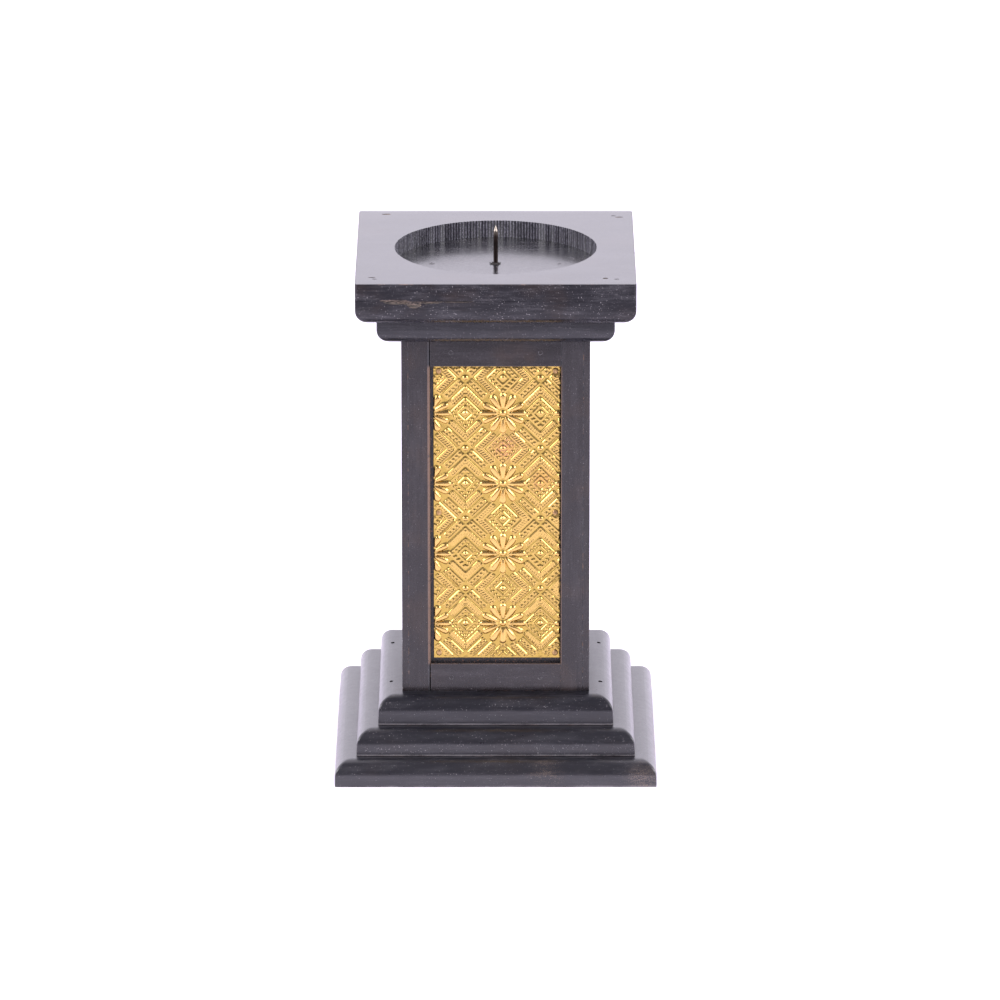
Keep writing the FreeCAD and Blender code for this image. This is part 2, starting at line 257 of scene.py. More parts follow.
class Mix:
    """One material as it is mixed: its nodes, and the shader that they feed."""

    def __init__(self, name, **constants):
        self.material = bpy.data.materials.new(name)
        self.material.use_nodes = True
        self.tree = self.material.node_tree
        self.shader = next(node for node in self.tree.nodes if node.type == "BSDF_PRINCIPLED")
        for socket, value in constants.items():
            self.shader.inputs[socket.replace("_", " ")].default_value = value
        self.place = self.add("ShaderNodeTexCoord", output="Object")

    def add(self, kind, settings={}, values=(), output=0):
        """Any node: its settings first, then its sockets' values or wires, by place or by name."""
        node = self.tree.nodes.new(kind)
        for name, value in settings.items():
            if name == "stops":
                self.set_stops(node.color_ramp, value)
            else:
                setattr(node, name, value)
        pairs = values.items() if isinstance(values, dict) else enumerate(values)
        for socket, value in pairs:
            if isinstance(value, Wire):
                self.tree.links.new(value.socket, node.inputs[socket])
            else:
                node.inputs[socket].default_value = value
        return Wire(self, node.outputs[output])

    def set_stops(self, ramp, stops):
        while len(ramp.elements) < len(stops):
            ramp.elements.new(0.5)
        for element, (place, colour) in zip(ramp.elements, stops):
            element.position = place
            element.color = (*colour, 1)

    def feed(self, socket, wire):
        self.tree.links.new(wire.socket, self.shader.inputs[socket])

    def noise(self, size, detail=2.0, place=None, roughness=0.5):
        """Soft noise from 0 to 1 whose lumps are about that size across."""
        values = {"Vector": place or self.place, "Scale": 1 / size, "Detail": detail}
        return self.add("ShaderNodeTexNoise", {}, {**values, "Roughness": roughness})

    def step(self, wire, low, high):
        """0 below low, 1 above high, and smooth between."""
        values = {"Value": wire, "From Min": low, "From Max": high}
        return self.add("ShaderNodeMapRange", {"interpolation_type": "SMOOTHSTEP"}, values)

    def stretched(self, scale, shift=(0, 0, 0)):
        values = {"Vector": self.place, "Scale": scale, "Location": shift}
        return self.add("ShaderNodeMapping", {}, values)

    def blend(self, mask, first, second):
        """The first colour where the mask is 0, the second where it is 1."""
        first, second = (value if isinstance(value, Wire) else (*value, 1) for value in (first, second))
        return self.add("ShaderNodeMix", {"data_type": "RGBA"}, {0: mask, 6: first, 7: second}, 2)

    def bump(self, height, strength, distance):
        values = {"Height": height, "Strength": strength, "Distance": distance}
        self.feed("Normal", self.add("ShaderNodeBump", {}, values))

    def near(self, point, reach, fade=0.5):
        """1 within reach of a point, fading to 0 over the last part of it."""
        gap = self.add("ShaderNodeVectorMath", {"operation": "DISTANCE"}, [self.place, point], "Value")
        return 1 - self.step(gap, reach * (1 - fade), reach)

    def level(self, height, reach):
        """1 at that height, fading to 0 at reach above and below it."""
        gap = self.sum("ABSOLUTE", self.axis(2) - height)
        return 1 - self.step(gap, 0.0, reach)

    def sum(self, operation, *values):
        return self.add("ShaderNodeMath", {"operation": operation}, values)

    def axis(self, number):
        """The place along X, Y or Z, in metres."""
        return self.add("ShaderNodeSeparateXYZ", {}, [self.place], output=number)


BLACK = (0.0066, 0.0066, 0.0095)
BROWN = (0.02, 0.0125, 0.01)
DUST = (0.14, 0.135, 0.15)
PALE = (0.3, 0.28, 0.29)
RAW = (0.13, 0.075, 0.05)
DARK = (0.006, 0.005, 0.006)
FLECK = (0.2, 0.14, 0.1)
TARNISH = (0.045, 0.033, 0.018)
COPPER = (0.62, 0.34, 0.1)
PINK = (0.4, 0.17, 0.13)


def lacquer(name, grain=0, brown=0.25, dust=0.35, gloss=0.17, wear=0.0, seams=(), scuffs=(), warm=0.0,
            coat=0.3, coat_gloss=0.12, shine=0.5, relief=0.4, span=None):
    """Black stain under a satin varnish, over wood whose grain runs along that axis.

    brown is how much of the wood shows through in patches and warm how much everywhere. dust is how many
    pale specks lie in the varnish, gloss its roughness, shine how much it reflects, and relief how far the
    grain can be felt in it. wear is how much bare wood shows, as along an arris, and it stays between the
    two heights of the span, if there is one. A line of dust lies along the seams, which are heights.
    scuffs are (point, reach) where the varnish is rubbed and flecked with brown. coat is how much clear
    varnish lies over it all, and coat_gloss that varnish's roughness.
    """
    mix = Mix(name, Coat_Weight=coat, Coat_Roughness=coat_gloss, Specular_IOR_Level=shine)
    scale = [1, 1, 1]
    scale[grain] = 0.06
    streaks = mix.noise(0.7 * MM, 3, mix.stretched(scale), 0.65)
    scale[grain] = 0.2
    haze = mix.noise(3.6 * MM, 4, mix.stretched(scale, (0.3, 0.1, 0.7)), 0.7)
    patches = mix.noise(16 * MM, 3)
    lumps = mix.noise(2.2 * MM, 2)
    grit = mix.noise(0.22 * MM, 2)
    specks = mix.noise(0.36 * MM, 0)
    browned = mix.step(patches + 0.25 * streaks, 0.6, 0.85) * brown + warm
    speckled = mix.step(specks + 0.16 * haze, 0.83, 0.93) * dust
    hazy = mix.step(haze + 0.4 * streaks + 0.45 * grit, 0.82, 1.2) * (0.2 * dust)
    colour = mix.blend(browned, BLACK, BROWN)
    colour = mix.blend(hazy, colour, DUST)
    colour = mix.blend(speckled, colour, PALE)
    for seam in seams:
        line = mix.level(seam, 0.9 * MM) * mix.step(haze + 0.4 * grit, 0.5, 0.8)
        colour = mix.blend(line * 0.7, colour, PALE)
    for point, reach in scuffs:
        flecked = mix.near(point, reach, 0.95) * mix.step(0.5 * haze + grit, 0.78, 0.95)
        colour = mix.blend(flecked * 0.6, colour, FLECK)
    if wear:
        spots = mix.noise(3.4 * MM, 4, None, 0.7)
        bared = mix.step(spots + 0.15 * streaks, 0.72 - 0.42 * wear, 0.86 - 0.3 * wear)
        if span:
            low, high = span
            height = mix.axis(2)
            above = mix.step(height, low - MM, low + MM)
            bared = bared * above * (1 - mix.step(height, high - MM, high + MM))
        colour = mix.blend(bared * 0.8, colour, RAW)
        mix.feed("Roughness", 0.1 * lumps + 0.3 * bared + gloss)
    else:
        mix.feed("Roughness", 0.12 * lumps + 0.35 * speckled + 0.3 * hazy + (gloss - 0.05))
    mix.feed("Base Color", colour)
    mix.bump(0.5 * streaks + 0.3 * lumps + 0.35 * grit, relief, 0.08 * MM)
    return mix.material


def recess_lacquer(ribs):
    """The drilled wall: end fibres in upright ribs under the same varnish, with pale streaks that are
    partly dusty fibres and partly a painted highlight on the rib crests.
    """
    mix = Mix("recess_lacquer", Coat_Weight=0.5, Coat_Roughness=0.15, Coat_IOR=1.5, IOR=1.5)
    turn = mix.sum("ARCTAN2", mix.axis(1), mix.axis(0))
    rib = mix.sum("COSINE", turn * ribs)
    streaks = mix.noise(1.6 * MM, 2, mix.stretched((1, 1, 0.2)), 0.6)
    sparks = mix.noise(0.42 * MM, 3, mix.stretched((1, 1, 0.6)), 0.7)
    # Pale streaks: partly dust in the end fibres, partly a painted highlight along the rib crests.
    dusty_fibres_and_painted_glints = mix.step(0.09 * rib + 0.12 * streaks + 0.7 * sparks, 0.36, 0.62)
    mix.feed("Base Color", mix.blend(dusty_fibres_and_painted_glints, (0.014, 0.013, 0.018), (0.165, 0.16, 0.19)))
    mix.feed("Roughness", 0.3 * sparks + 0.2)
    mix.bump(0.25 * rib + 0.7 * sparks, 0.7, 0.16 * MM)
    return mix.material


def torn_wood():
    """Where a chip came away: rough fibres with some stain in them."""
    mix = Mix("torn_wood", Roughness=0.75)
    fibres = mix.noise(0.35 * MM, 3, mix.stretched((0.15, 1, 1)), 0.7)
    colours = [(0.35, (0.012, 0.01, 0.011)), (0.52, (0.055, 0.042, 0.036)), (0.72, (0.24, 0.18, 0.14))]
    mix.feed("Base Color", mix.add("ShaderNodeValToRGB", {"stops": colours}, [fibres]))
    mix.bump(fibres, 0.6, 0.15 * MM)
    return mix.material


def stained_post():
    """The post between a sheet and its strips: black stain with flecks of copper-coloured wear."""
    mix = Mix("stained_post", Roughness=0.5)
    flecks = mix.noise(0.6 * MM, 3, None, 0.7)
    worn = mix.step(flecks, 0.56, 0.7) * 0.7
    mix.feed("Base Color", mix.blend(worn, (0.011, 0.01, 0.012), (0.2, 0.085, 0.045)))
    mix.bump(flecks, 0.5, 0.12 * MM)
    return mix.material


def brass(name, stains=()):
    """Thin embossed brass, tarnished dark round its rim. Its hollows are darker and its crests brighter,
    partly from tarnish and rubbing and partly as painted shade and painted highlight.

    stains are (point, reach) where the brass has gone a coppery pink.
    """
    mix = Mix(name, Metallic=1.0)
    relief = mix.add("ShaderNodeAttribute", {"attribute_name": "relief"}, output="Fac")
    rim = mix.add("ShaderNodeAttribute", {"attribute_name": "rim"}, output="Fac")
    broad = mix.noise(9 * MM, 2)
    fine = mix.noise(0.55 * MM, 3, None, 0.65)
    scuffs = mix.noise(0.5 * MM, 3, mix.stretched((1, 1, 0.25)), 0.6)
    level = relief + 0.22 * (fine - 0.5) + 0.22 * (broad - 0.5)
    # The ramp darkens the hollows and lightens the crests: partly tarnish and rubbing, partly painted shade
    # in the hollows and a painted highlight on the crests.
    tarnish_and_painted_light_golds = [(0.0, (0.44, 0.3, 0.075)), (0.3, (0.51, 0.345, 0.1)), (0.9, (0.62, 0.405, 0.135))]
    colour = mix.add("ShaderNodeValToRGB", {"stops": tarnish_and_painted_light_golds}, [level])
    tarnish = mix.step(rim + 0.9 * (fine - 0.5) + 0.5 * (broad - 0.5), 0.72, 0.98)
    colour = mix.blend(tarnish * 0.9, colour, TARNISH)
    for point, reach in stains:
        flush = mix.near(point, reach, 0.95) * 0.45
        colour = mix.blend(flush, colour, COPPER)
        pink = mix.near(point, 1.3 * reach, 0.8) * mix.step(fine + 0.3 * broad, 0.68, 0.8)
        colour = mix.blend(pink * 0.75, colour, PINK)
    mix.feed("Base Color", colour)
    mix.feed("Roughness", 0.14 * scuffs + 0.3 * tarnish + 0.2)
    mix.bump(0.5 * fine + 0.5 * scuffs, 0.25, 0.05 * MM)
    return mix.material


def tack_metal():
    mix = Mix("tack_metal", Metallic=0.85)
    blotches = mix.noise(1.4 * MM, 3)
    colours = [(0.35, (0.2, 0.12, 0.06)), (0.55, (0.42, 0.26, 0.11)), (0.75, (0.58, 0.4, 0.16))]
    mix.feed("Base Color", mix.add("ShaderNodeValToRGB", {"stops": colours}, [blotches]))
    mix.feed("Roughness", 0.35 * blotches + 0.25)
    mix.bump(blotches, 0.3, 0.1 * MM)
    return mix.material


def brad_metal():
    """Driven brads, filled and painted over with the wood."""
    mix = Mix("brad_metal", Metallic=0.2)
    blotches = mix.noise(0.5 * MM, 2)
    rubbed = mix.step(blotches, 0.4, 0.7)
    mix.feed("Base Color", mix.blend(rubbed, (0.03, 0.028, 0.032), (0.13, 0.125, 0.13)))
    mix.feed("Roughness", 0.2 * blotches + 0.35)
    return mix.material


def spike_steel(tip):
    """Bare wire, brown with age, and pale towards its tip, partly bare steel and partly a painted
    highlight.
    """
    mix = Mix("spike_steel", Metallic=0.9)
    rust = mix.noise(0.8 * MM, 3, mix.stretched((1, 1, 0.2)), 0.6)
    # The pale tip is partly bare steel and partly a painted highlight.
    bare_tip_and_painted_highlight = mix.step(mix.axis(2) + 0.8 * MM * rust, tip - 4.0 * MM, tip - 1.0 * MM)
    browns = [(0.35, (0.012, 0.009, 0.009)), (0.7, (0.06, 0.04, 0.036))]
    dark = mix.add("ShaderNodeValToRGB", {"stops": browns}, [rust])
    mix.feed("Base Color", mix.blend(bare_tip_and_painted_highlight * 0.7, dark, (0.5, 0.44, 0.37)))
    mix.feed("Roughness", 0.4 - 0.12 * bare_tip_and_painted_highlight)
    mix.bump(rust, 0.3, 0.08 * MM)
    return mix.material


# ---------------------------------------------------------------- boards

# The radius of a board's rounded edge, of the candle's recess and of the heads of two kinds of nail.
ROUND = 5.6 * MM
RECESS_RADIUS = 36.5 * MM
TREAD_NAIL = 1.1 * MM
CAP_NAIL = 2.1 * MM
TORN = torn_wood()
WORN = lacquer("worn_arris", brown=0.6, dust=1.0, gloss=0.3, wear=0.35)
OPENING = (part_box("front_bottom_rail")[1].z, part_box("front_top_rail")[0].z)
RUBBED = lacquer("rubbed_arris", grain=2, brown=0.9, dust=0.5, gloss=0.35, wear=1.0, span=OPENING)
PIT = Mix("pit", Roughness=0.9, Base_Color=(*DARK, 1), Specular_IOR_Level=0.05).material


def paint(piece, *materials):
    for material in materials:
        piece.data.materials.append(material)


def cover(piece, wanted, material):
    """Another finish on the faces that wanted() accepts."""
    paint(piece, material)
    pick(piece, "faces", wanted)
    piece.active_material_index = len(piece.data.materials) - 1
    bpy.ops.object.material_slot_assign()
    done()


def soften(piece, wanted, radius, segments=2, slot=0):
    """Rounds an arris a little, and gives the new faces that material slot."""
    if pick(piece, "edges", wanted):
        bpy.ops.mesh.bevel(offset=radius, segments=segments, profile=0.5, affect="EDGES", material=slot)
    done()


def crumb(place, size, seed, material):
    """An uneven lump, for cutting a chip, a pit or a tear out of the wood."""
    shake = random.Random(seed)
    shift = Vector([shake.uniform(-1, 1) for _ in range(3)])
    deselect()
    bpy.ops.mesh.primitive_ico_sphere_add(subdivisions=4, radius=0.5, location=place)
    lump = bpy.context.object
    lump.scale = Vector(size) * MM
    settle(lump)
    lump.location = shift
    settle(lump)
    unlevel(lump, min(size) * 0.55 * MM, clouds(f"crumb_{seed}", 0.9 * MM, 3))
    lump.location = -shift
    settle(lump)
    paint(lump, material)
    return lump


def chip(piece, places, material):
    """Cuts several crumbs out of a piece: each is (place, size in millimetres)."""
    lumps = [crumb(place, size, seed, material) for seed, (place, size) in enumerate(places, 1)]
    carve(piece, gather("chips", lumps), True)


def moulded_board(node, rounded, material, seam=0.2 * MM):
    """A square board whose top or bottom edge is worked to a quarter round. seam softens its other edge."""
    low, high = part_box(node)
    piece = block(node + "_lacquered", low, high)
    paint(piece, material, WORN)
    worked = high.z if rounded == "top" else low.z
    plain = low.z if rounded == "top" else high.z
    round_edges(piece, lambda edge: at(edge, 2, worked), ROUND, 9)
    slack = 0.25 * MM

    def is_corner(edge):
        one, two = edge.verts[0].co, edge.verts[1].co
        on_diagonal = all(abs(abs(end.x) - abs(end.y)) < slack for end in (one, two))
        return on_diagonal and one.x * two.x > 0 and one.y * two.y > 0 and not at(edge, 2, worked)

    soften(piece, is_corner, 0.6 * MM, 2, 0)
    soften(piece, lambda edge: at(edge, 2, plain), seam, 2, 1 if seam > 0.1 * MM else 0)
    slice_up(piece, 0, 3 * MM)
    slice_up(piece, 1, 3 * MM)
    unlevel(piece, 0.14 * MM)
    return piece


def base():
    """Three boards, and the pits where the top one was nailed down."""
    names = ("base_bottom_board", "base_middle_board", "base_top_board")
    for number, node in enumerate(names):
        low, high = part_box(node)
        scuffs = []
        if number == 0:
            scuffs = [((18 * MM, low.y, 5 * MM), 9 * MM), ((53 * MM, low.y, 3 * MM), 9 * MM)]
        stain = lacquer(
            f"lacquer_base_{number}", brown=0.15, dust=0.45, gloss=0.29, seams=[low.z], scuffs=scuffs,
            coat=0.38, coat_gloss=0.22, shine=0.58 - 0.12 * number,
        )
        board = moulded_board(node, "top", stain)
        if number == 2:
            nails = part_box("tread_nails")
            x, y = nails[1].x - TREAD_NAIL, nails[1].y - TREAD_NAIL
            spots = [(sx * x, sy * y, high.z) for sx in (-1, 1) for sy in (-1, 1)]
            chip(board, [(spot, (1.5, 1.9, 1.6)) for spot in spots], PIT)
        smooth(board)
        finish(board, "black_wood", node)


def ribbed_hole(radius, low, high):
    """The drill that cut the candle's recess left fine upright ribs all round its wall."""
    ribs = 208
    deselect()
    bpy.ops.mesh.primitive_cylinder_add(vertices=2 * ribs, radius=radius, depth=high - low)
    cutter = bpy.context.object
    cutter.location.z = (low + high) / 2
    settle(cutter)
    rough = random.Random(7)
    depths = [rough.choice((0.12, 0.2, 0.28, 0.34)) * MM for _ in range(ribs)]

    def rib_of(edge):
        spot = edge.verts[0].co
        turn = math.atan2(spot.y, spot.x) / math.tau * 2 * ribs
        return round(turn) % (2 * ribs)

    for depth in sorted(set(depths)):
        chosen = {2 * number for number, value in enumerate(depths) if value == depth}
        pick(cutter, "edges", lambda edge: along(edge, 2) and rib_of(edge) in chosen)
        shrink = 1 - depth / radius
        bpy.ops.transform.resize(value=(shrink, shrink, 1), center_override=(0, 0, 0))
        done()
    paint(cutter, recess_lacquer(ribs))
    return cutter


def cap():
    """The neck, the cap board with the recess's floor, and the top board with the candle's hole."""
    stain = lacquer("lacquer_neck", brown=0.25, dust=0.6, gloss=0.22, coat=0.1, shine=0.36)
    neck = moulded_board("neck_board", "bottom", stain, 0.06 * MM)
    smooth(neck)
    finish(neck, "black_wood", "neck_board")

    low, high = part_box("cap_board")
    edges = lacquer("lacquer_cap_edges", brown=0.5, dust=1.0, gloss=0.22, warm=0.05, coat=0.02, shine=0.27)
    board = moulded_board("cap_board", "bottom", edges, 0.04 * MM)
    recess_floor = lacquer(
        "lacquer_recess_floor", brown=0.2, dust=0.7, gloss=0.22, coat=0.45, coat_gloss=0.17, relief=0.3
    )
    cover(board, lambda face: face.normal.z > 0.7, recess_floor)
    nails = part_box("cap_nails")
    x = nails[1].x - CAP_NAIL
    chip(board, [((-x, 0, high.z), (1.9, 2.6, 1.6)), ((x, 0, high.z), (1.5, 1.8, 1.0))], PIT)
    front = low.y
    tears = [
        ((-34.5 * MM, front, high.z - 0.3 * MM), (10.5, 1.6, 1.9)),
        ((-29.0 * MM, front, high.z - 1.1 * MM), (5.0, 1.8, 3.0)),
        ((-23.5 * MM, front, high.z - 0.2 * MM), (9.0, 1.2, 1.3)),
        ((-14.0 * MM, front, high.z), (13.0, 0.9, 0.8)),
    ]
    chip(board, tears, TORN)
    smooth(board)
    finish(board, "black_wood", "cap_board")

    low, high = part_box("top_board")
    top = block("top_board_lacquered", low, high)
    paint(top, edges, WORN)
    soften(top, lambda edge: along(edge, 2), 1.1 * MM, 3, 0)
    soften(top, lambda edge: at(edge, 2, high.z), 0.22 * MM, 2, 1)
    soften(top, lambda edge: at(edge, 2, low.z), 0.04 * MM, 2, 0)
    slice_up(top, 0, 4 * MM)
    slice_up(top, 1, 4 * MM)
    unlevel(top, 0.14 * MM)
    sheen = lacquer("lacquer_top", brown=0.3, dust=0.4, gloss=0.13, coat=0.38, relief=0.2)
    cover(top, lambda face: face.normal.z > 0.98, sheen)
    carve(top, ribbed_hole(RECESS_RADIUS, low.z - MM, high.z + MM))
    marks = [
        ((-44 * MM, -41 * MM, high.z), (2.6, 0.9, 0.35)),
        ((39 * MM, -42 * MM, high.z), (2.0, 1.6, 0.4)),
        ((-40 * MM, 45 * MM, high.z), (3.4, 1.4, 0.35)),
        ((45 * MM, 41 * MM, high.z), (3.0, 1.2, 0.35)),
        ((50 * MM, -8 * MM, high.z - 0.4 * MM), (0.9, 3.4, 1.6)),
        ((-36 * MM, low.y, low.z + 0.2 * MM), (11.0, 0.9, 0.9)),
    ]
    chip(top, marks, TORN)
    smooth(top)
    finish(top, "black_wood", "top_board")


# ---------------------------------------------------------------- post and strips


# How brown each strip is, and how far the arris next to the sheet is worn off, in millimetres.
STRIPS = {
    "left_stile": (0.5, 0.95),
    "right_stile": (0.6, 0.25),
    "bottom_rail": (0.25, 0.25),
    "top_rail": (0.8, 0.3),
}


def strip(node, turn, is_inner, brown, arris):
    """A flat strip with its arrises taken off. The one next to the sheet is worn more."""
    low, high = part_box(node)
    piece = block(node + "_lacquered", low, high)
    grain = 2 if "stile" in node else (0 if turn % 180 == 0 else 1)
    # The top rails reflect less than the other strips: painted shade for the shadow that the neck and cap
    # cast on them.
    shine = 0.34 if "top_rail" in node else 0.41
    stain = lacquer("lacquer_" + node, grain, brown, gloss=0.26, dust=0.4, warm=0.3, coat=0.06, shine=shine)
    paint(piece, stain, WORN, RUBBED)
    soften(piece, is_inner, arris, 3, 2)
    soften(piece, lambda edge: edge.calc_face_angle(0) > 1.2, 0.16 * MM, 2, 1)
    slice_up(piece, grain, 5 * MM)
    unlevel(piece, 0.1 * MM)
    smooth(piece)
    finish(piece, "black_wood", node)


def panel_strips():
    """Each face's two stiles and two rails round its sheet."""
    for face, turn in FACES.items():
        across = 0 if turn % 180 == 0 else 1
        outward = 1 - across
        for part in STRIPS:
            node = f"{face}_{part}"
            low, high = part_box(node)
            outer = low[outward] if abs(low[outward]) > abs(high[outward]) else high[outward]
            if "stile" in part:
                inner = low[across] if abs(low[across]) < abs(high[across]) else high[across]
                axis = across
            else:
                inner = high.z if part == "bottom_rail" else low.z
                axis = 2

            def is_inner(edge):
                return at(edge, axis, inner) and at(edge, outward, outer)

            brown, arris = STRIPS[part]
            strip(node, turn, is_inner, brown, arris * MM)


# ---------------------------------------------------------------- embossed sheets

# In millimetres: the pattern's repeat, the squares of the grid that is pressed over it, the height above
# which the brass is rubbed flatter, how far in from the edges the tacks are, and where each face's first
# flower is, from the sheet's middle.
REPEAT = (26.97, 26.39)
GRID = 0.25
CREST = 0.66
TACK_INSET = 2
SHEET_PHASE = {"front": (2.6, -15.57), "right": (-6.5, -10.2), "back": (8.8, -19.6), "left": (-2.4, -3.1)}


class Die:
    """One repeat of the raised pattern that the brass was pressed over, lying flat, in millimetres."""

    def __init__(self):
        self.parts = []

    def keep(self, size, turn=0):
        part = bpy.context.object
        part.scale = size
        part.rotation_euler.z = turn
        settle(part)
        self.parts.append(part)
        return part

    def bead(self, x, y, long, wide, tall, turn=0, fine=1):
        deselect()
        bpy.ops.mesh.primitive_uv_sphere_add(segments=10 * fine, ring_count=6 * fine, location=(x, y, 0))
        return self.keep((long, wide, tall), turn)

    def bar(self, start, end, wide, tall):
        """A straight ridge from one point to the other."""
        deselect()
        middle = [(one + two) / 2 for one, two in zip(start, end)]
        run = math.dist(start, end)
        turn = math.atan2(end[1] - start[1], end[0] - start[0])
        bpy.ops.mesh.primitive_cylinder_add(vertices=10, radius=1, depth=1, rotation=(0, math.pi / 2, 0))
        settle(bpy.context.object)
        bpy.context.object.location = (*middle, 0)
        return self.keep((run, wide, tall), turn)

    def pyramid(self, x, y, half, tall):
        deselect()
        bpy.ops.mesh.primitive_cone_add(vertices=4, radius1=half, radius2=0.25 * half, depth=tall)
        bpy.context.object.location = (x, y, tall / 2)
        return self.keep((1, 0.8, 1))

    def plateau(self, start, end, wide, tall):
        """A low flat-topped band from one point to the other."""
        deselect()
        middle = [(one + two) / 2 for one, two in zip(start, end)]
        bpy.ops.mesh.primitive_cube_add(size=1, location=(*middle, 0))
        turn = math.atan2(end[1] - start[1], end[0] - start[0])
        return self.keep((math.dist(start, end), wide, 2 * tall), turn)

    def flower(self):
        """Twelve rounded petals that narrow towards a boss. They lean towards the level ones."""
        petals = {0: (8.4, 0.85), 24: (8.1, 0.92), 57: (7.8, 1.1), 90: (7.5, 1.1)}
        start = 1.45
        for turn in (0, 24, 57, 90, 123, 156, 180, 204, 237, 270, 303, 336):
            end, wide = petals[min(turn % 180, 180 - turn % 180)]
            deselect()
            bpy.ops.mesh.primitive_uv_sphere_add(segments=24, ring_count=16, radius=1)
            petal = bpy.context.object
            petal.scale = ((end - start) / 2, wide, 0.9)
            settle(petal)
            modify(petal, "CAST", cast_type="CUBOID", factor=0.25, use_z=False)
            modify(petal, "SIMPLE_DEFORM", deform_method="TAPER", deform_axis="X", factor=0.8)
            petal.location = ((start + end) / 2, 0, 0)
            settle(petal)
            petal.rotation_euler.z = math.radians(turn)
            settle(petal)
            self.parts.append(petal)
        self.bead(0, 0, 1.25, 0.95, 1.0, 0, 2)

    def side(self, centre, half, sx, sy, clear):
        """One side of a diamond, from its upright corner towards its level one, clear of the flowers."""
        upright = (centre[0], centre[1] + sy * half)
        level = (centre[0] + sx * half, centre[1])
        return upright, [u + (v - u) * clear for u, v in zip(upright, level)]

    def diamond(self, centre, wide_band, flower_above):
        """A pyramid in a beaded frame in a hatched one, whose level or upright corners flowers cover."""
        self.pyramid(*centre, 1.7, 0.6)
        inner, beaded, frame = 2.8, 4.6, 5.75
        low, high = wide_band
        share, strokes = 0.62, 8
        for sx in (-1, 1):
            for sy in (-1, 1):
                for half in (inner, frame):
                    start, end = self.side(centre, half, sx, sy, 1)
                    self.bar(start, end, 0.25, 0.38)
                for half in (low, (low + high) / 2, high):
                    start, end = self.side(centre, half, sx, sy, 1)
                    if flower_above:
                        start = [v + (u - v) * share for u, v in zip(start, end)]
                    else:
                        end = [u + (v - u) * share for u, v in zip(start, end)]
                    if half in wide_band:
                        self.bar(start, end, 0.25, 0.42)
                    else:
                        self.plateau(start, end, (high - low) / math.sqrt(2), 0.14)
                for number in range(strokes):
                    part = (number + 0.5) / strokes * share
                    part = 1 - part if flower_above else part
                    mid = (low + high) / 2
                    x = centre[0] + sx * mid * part
                    y = centre[1] + sy * mid * (1 - part)
                    turn = 0.3 * sx * sy if flower_above else math.pi / 2 - 0.25 * sx * sy
                    self.bead(x, y, 0.95, 0.3, 0.4, turn)
        for quarter in range(4):
            for number in range(4):
                part = number / 4
                x = beaded * (1 - part)
                y = beaded * part
                for _ in range(quarter):
                    x, y = -y, x
                self.bead(centre[0] + x, centre[1] + y, 0.6, 0.42, 0.48)

    def diagonals(self):
        """Beads between two ridges, from the flower out to the crossings, and a boss on each crossing."""
        half = [side / 2 for side in REPEAT]
        run = math.hypot(*half)
        turn = math.atan2(half[1], half[0])
        for sx in (-1, 1):
            for sy in (-1, 1):
                ux, uy = sx * math.cos(turn), sy * math.sin(turn)
                for offset in (-1.1, 0, 1.1):
                    px, py = -uy * offset, ux * offset
                    ends = [(ux * far + px, uy * far + py) for far in (8.9, run - 1.9)]
                    if offset:
                        self.bar(*ends, 0.24, 0.38)
                    else:
                        self.plateau(*ends, 1.9, 0.1)
                for number in range(5):
                    far = 9.4 + 1.65 * number
                    self.bead(ux * far, uy * far, 0.68, 0.5, 0.5)
        self.bead(half[0], half[1], 1.15, 0.9, 0.6, 0, 2)

    def cell(self):
        half = [side / 2 for side in REPEAT]
        self.flower()
        self.diamond((half[0], 0), (7.5, 9.9), False)
        self.diamond((0, half[1]), (7.3, 10.2), True)
        self.diagonals()
        return gather("die", self.parts)


def whole_die():
    """The repeat copied side by side and up and down, over a flat plate."""
    die = Die().cell()
    columns, rows = 5, 8
    modify(die, "ARRAY", count=columns, use_relative_offset=False, use_constant_offset=True,
           constant_offset_displace=(REPEAT[0], 0, 0))
    modify(die, "ARRAY", count=rows, use_relative_offset=False, use_constant_offset=True,
           constant_offset_displace=(0, REPEAT[1], 0))
    die.location = (-REPEAT[0] * (columns // 2), -REPEAT[1] * (rows // 2), 0)
    settle(die)
    deselect()
    bpy.ops.mesh.primitive_plane_add(size=300)
    return gather("die", [die, bpy.context.object])


